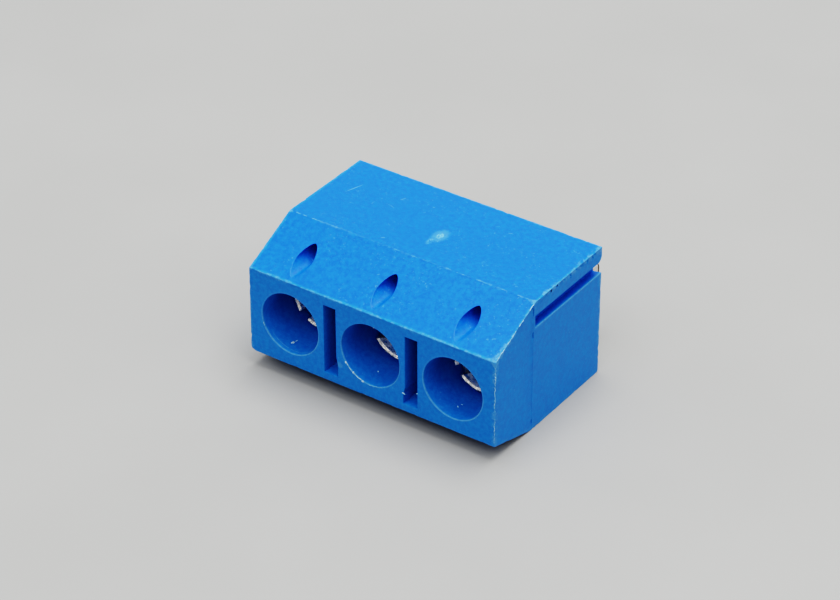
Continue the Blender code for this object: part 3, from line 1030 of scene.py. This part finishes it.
def make_frame(label, xc, mat):
    """A bent brass box with a threaded wall and the pin's staked tenon hole."""
    y0, y1 = 4.25, 9.15
    z0, z1 = 1.35, 5.55
    bm = bmesh.new()
    outside = rounded([(-1.95, y0), (1.95, y0), (1.95, y1), (-1.95, y1)], 0.45, 8)
    loft(bm, [[(xc + a, b, z) for a, b in outside] for z in (z0, z1)])
    inner = bmesh.new()
    inside = rounded([(-1.45, y0 + 1.2), (1.45, y0 + 1.2), (1.45, y1 - 0.6), (-1.45, y1 - 0.6)], 0.10, 4)
    loft(inner, [[(xc + a, b, z) for a, b in inside] for z in (z0 - 1, z1 + 1)])
    holes = bmesh.new()
    seg = 48
    rows = []
    yy = y0 - 0.3
    while yy < y0 + 1.5:
        row = []
        for i in range(seg):
            t = 2 * math.pi * i / seg
            phase = (yy / THREAD_PITCH + t / (2 * math.pi)) % 1.0
            r = 1.30 - 0.02 * abs(phase * 2 - 1)
            row.append((xc + r * math.cos(t), yy, SCREW_Z + r * math.sin(t)))
        rows.append(row)
        yy += 0.15
    loft(holes, rows)
    box(holes, (xc - 0.29, y1 - 1.1, 3.41), (xc + 0.29, y1 + 1.0, 3.99))
    # the seam where the strip's two ends meet, on the side wall
    seam = bmesh.new()
    box(seam, (xc + 1.40, 6.98, z0 - 0.5), (xc + 2.2, 7.03, z1 + 0.5))
    bm = carve(bm, [("DIFFERENCE", inner), ("DIFFERENCE", holes), ("DIFFERENCE", seam)])
    round_edges(
        bm,
        lambda e: e.calc_face_angle(0.0) > math.radians(50)
        and abs((e.verts[0].co.y + e.verts[1].co.y) / 2 - 7.0) > 0.1,
        0.03,
        2,
    )
    obj = finish_mesh(f"frame_strip_{label}", bm, [mat], 35)
    weighted(obj)
    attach(obj, "housing_body")
    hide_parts(f"clamp_frame_{label}")
    return obj


def make_pin(label, xc, mat):
    """A square pin, sheared and coined to a blunt point, on a staked tenon."""
    z = 3.7
    bm = bmesh.new()

    def square(y, w, r):
        h = w / 2
        shape = rounded([(-h, -h), (h, -h), (h, h), (-h, h)], r, 3)
        return [(xc + a, y, z + b) for a, b in shape]

    loft(
        bm,
        [
            square(8.60, 0.46, 0.03),
            square(8.63, 0.50, 0.03),
            square(9.17, 0.50, 0.03),
            square(9.175, 0.74, 0.05),
            square(9.20, 0.80, 0.06),
            square(10.8, 0.80, 0.06),
            square(12.74, 0.80, 0.08),
            square(12.88, 0.79, 0.14),
            square(12.97, 0.76, 0.20),
            square(13.03, 0.68, 0.22),
            square(13.05, 0.54, 0.20),
        ],
    )
    obj = finish_mesh(f"pin_square_{label}", bm, [mat], 40)
    weighted(obj)
    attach(obj, "housing_body")
    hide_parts(f"solder_pin_{label}")
    return obj


def make_plate(label, xc, mat):
    """A pressed plate with grip ribs on its wire side."""
    y0, y1 = 8.07, 8.52
    z0, z1 = 1.50, 5.40
    bm = bmesh.new()
    shape = rounded([(-1.40, z0), (1.40, z0), (1.40, z1), (-1.40, z1)], 0.18, 5)
    rings = []
    for y, d in ((y0, 0.05), (y0 + 0.05, 0.0), (y1 - 0.08, 0.0), (y1 - 0.04, 0.03)):
        rings.append([(xc + a * (1 - d / 1.4), y, 3.45 + (b - 3.45) * (1 - d / 1.95)) for a, b in shape])
    loft(bm, rings)
    grooves = bmesh.new()
    for k in range(7):
        zc = 1.95 + k * 0.5
        loft(
            grooves,
            [
                [(x, y1 + 0.1, zc - 0.16), (x, y1 + 0.1, zc + 0.16), (x, y1 - 0.14, zc)]
                for x in (xc - 2.0, xc + 2.0)
            ],
        )
    bm = carve(bm, [("DIFFERENCE", grooves)])
    obj = finish_mesh(f"grip_plate_{label}", bm, [mat], 30)
    weighted(obj)
    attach(obj, f"plate_{label}_body")
    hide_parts(f"clamp_plate_{label}")
    return obj


make_housing()
ZINC = metal_material("zinc_plate_bright", (0.95, 0.91, 0.83), (0.44, 0.42, 0.38), 0.44, 6.0, (1, 1, 1), (0.85, 0.80, 0.71), 0.040, polish=0.30)
BRASS = metal_material("brass_strip", (0.72, 0.63, 0.42), (0.66, 0.57, 0.37), 0.28, 7.0, (1, 1, 0.3), (0.68, 0.54, 0.33), 0.004)
# the tinned pin's dark end beyond y = 12.78 is painted shade
TIN = metal_material("tinned_pin", (0.80, 0.78, 0.74), (0.58, 0.55, 0.50), 0.26, 6.0, (1, 0.2, 1), (0.76, 0.73, 0.66), cut=12.78)
STEEL = metal_material("plated_steel", (0.66, 0.67, 0.69), (0.47, 0.49, 0.52), 0.30, 8.0, (0.2, 1, 1))
for _label, _x in POLES:
    make_frame(_label, _x, BRASS)
    make_pin(_label, _x, TIN)
    make_plate(_label, _x, STEEL)
    make_screw(_label, _x, ZINC)


# ------------------------------------------------------- floor, light, camera
def make_floor():
    bm = bmesh.new()
    bmesh.ops.create_grid(bm, x_segments=8, y_segments=8, size=0.6)
    mesh = bpy.data.meshes.new("floor")
    bm.to_mesh(mesh)
    bm.free()
    obj = bpy.data.objects.new("floor", mesh)
    bpy.context.scene.collection.objects.link(obj)
    n = Nodes("floor_pale")
    tc = n.tree.nodes.new("ShaderNodeTexCoord")
    v = n.noise(tc.outputs["Object"], 60.0, 3.0, 0.5)
    n.set("Base Color", n.mix(n.smooth(v, 0.3, 0.7), (0.247, 0.247, 0.240), (0.259, 0.259, 0.252)))
    n.bsdf.inputs["Roughness"].default_value = 0.65
    n.bsdf.inputs["Specular IOR Level"].default_value = 0.3
    mesh.materials.append(n.mat)
    return obj


def area(name, location, target, size, power, colour=(1.0, 1.0, 1.0)):
    data = bpy.data.lights.new(name, "AREA")
    data.shape = "RECTANGLE"
    data.size, data.size_y = size
    data.energy = power
    data.color = colour
    obj = bpy.data.objects.new(name, data)
    obj.location = location
    direction = Vector(target) - Vector(location)
    obj.rotation_mode = "QUATERNION"
    obj.rotation_quaternion = direction.to_track_quat("-Z", "Y")
    bpy.context.scene.collection.objects.link(obj)
    return obj


def make_light():
    world = bpy.data.worlds.new("studio")
    world.use_nodes = True
    bg = world.node_tree.nodes["Background"]
    bg.inputs["Color"].default_value = (0.98, 0.99, 1.0, 1.0)
    bg.inputs["Strength"].default_value = 0.78
    bpy.context.scene.world = world
    # a soft box overhead, and weaker ones above the front and the right
    area("overhead", (0.03, 0.07, 0.45), (0, 0, 0), (0.30, 0.30), 2.35)
    area("front_box", (0.00, -0.245, 0.360), (0, 0, 0), (0.22, 0.18), 0.52)
    area("right_box", (0.22, -0.05, 0.385), (0, 0, 0), (0.20, 0.20), 0.36)


def make_camera():
    data = bpy.data.cameras.new("camera")
    data.sensor_fit = "HORIZONTAL"
    data.sensor_width = 36.0
    data.lens = 2951.0 * 36.0 / 840.0
    data.clip_start, data.clip_end = 0.005, 10.0
    cam = bpy.data.objects.new("camera", data)
    az, el, roll = math.radians(34.99), math.radians(33.38), math.radians(-0.14)
    back = Vector((math.sin(az) * math.cos(el), -math.cos(az) * math.cos(el), math.sin(el)))
    right = Vector((0, 0, 1)).cross(back).normalized()
    up = back.cross(right)
    c, s = math.cos(roll), math.sin(roll)
    r2 = right * c + up * s
    u2 = up * c - right * s
    place = (Vector((71.813, -98.228, 86.944)) + SHIFT) * MM
    cam.matrix_world = Matrix(
        (
            (r2.x, u2.x, back.x, place.x),
            (r2.y, u2.y, back.y, place.y),
            (r2.z, u2.z, back.z, place.z),
            (0, 0, 0, 1),
        )
    )
    bpy.context.scene.collection.objects.link(cam)
    bpy.context.scene.camera = cam


make_floor()
make_light()
make_camera()
bpy.context.scene.view_settings.view_transform = "Filmic"
bpy.context.scene.view_settings.look = "Very High Contrast"
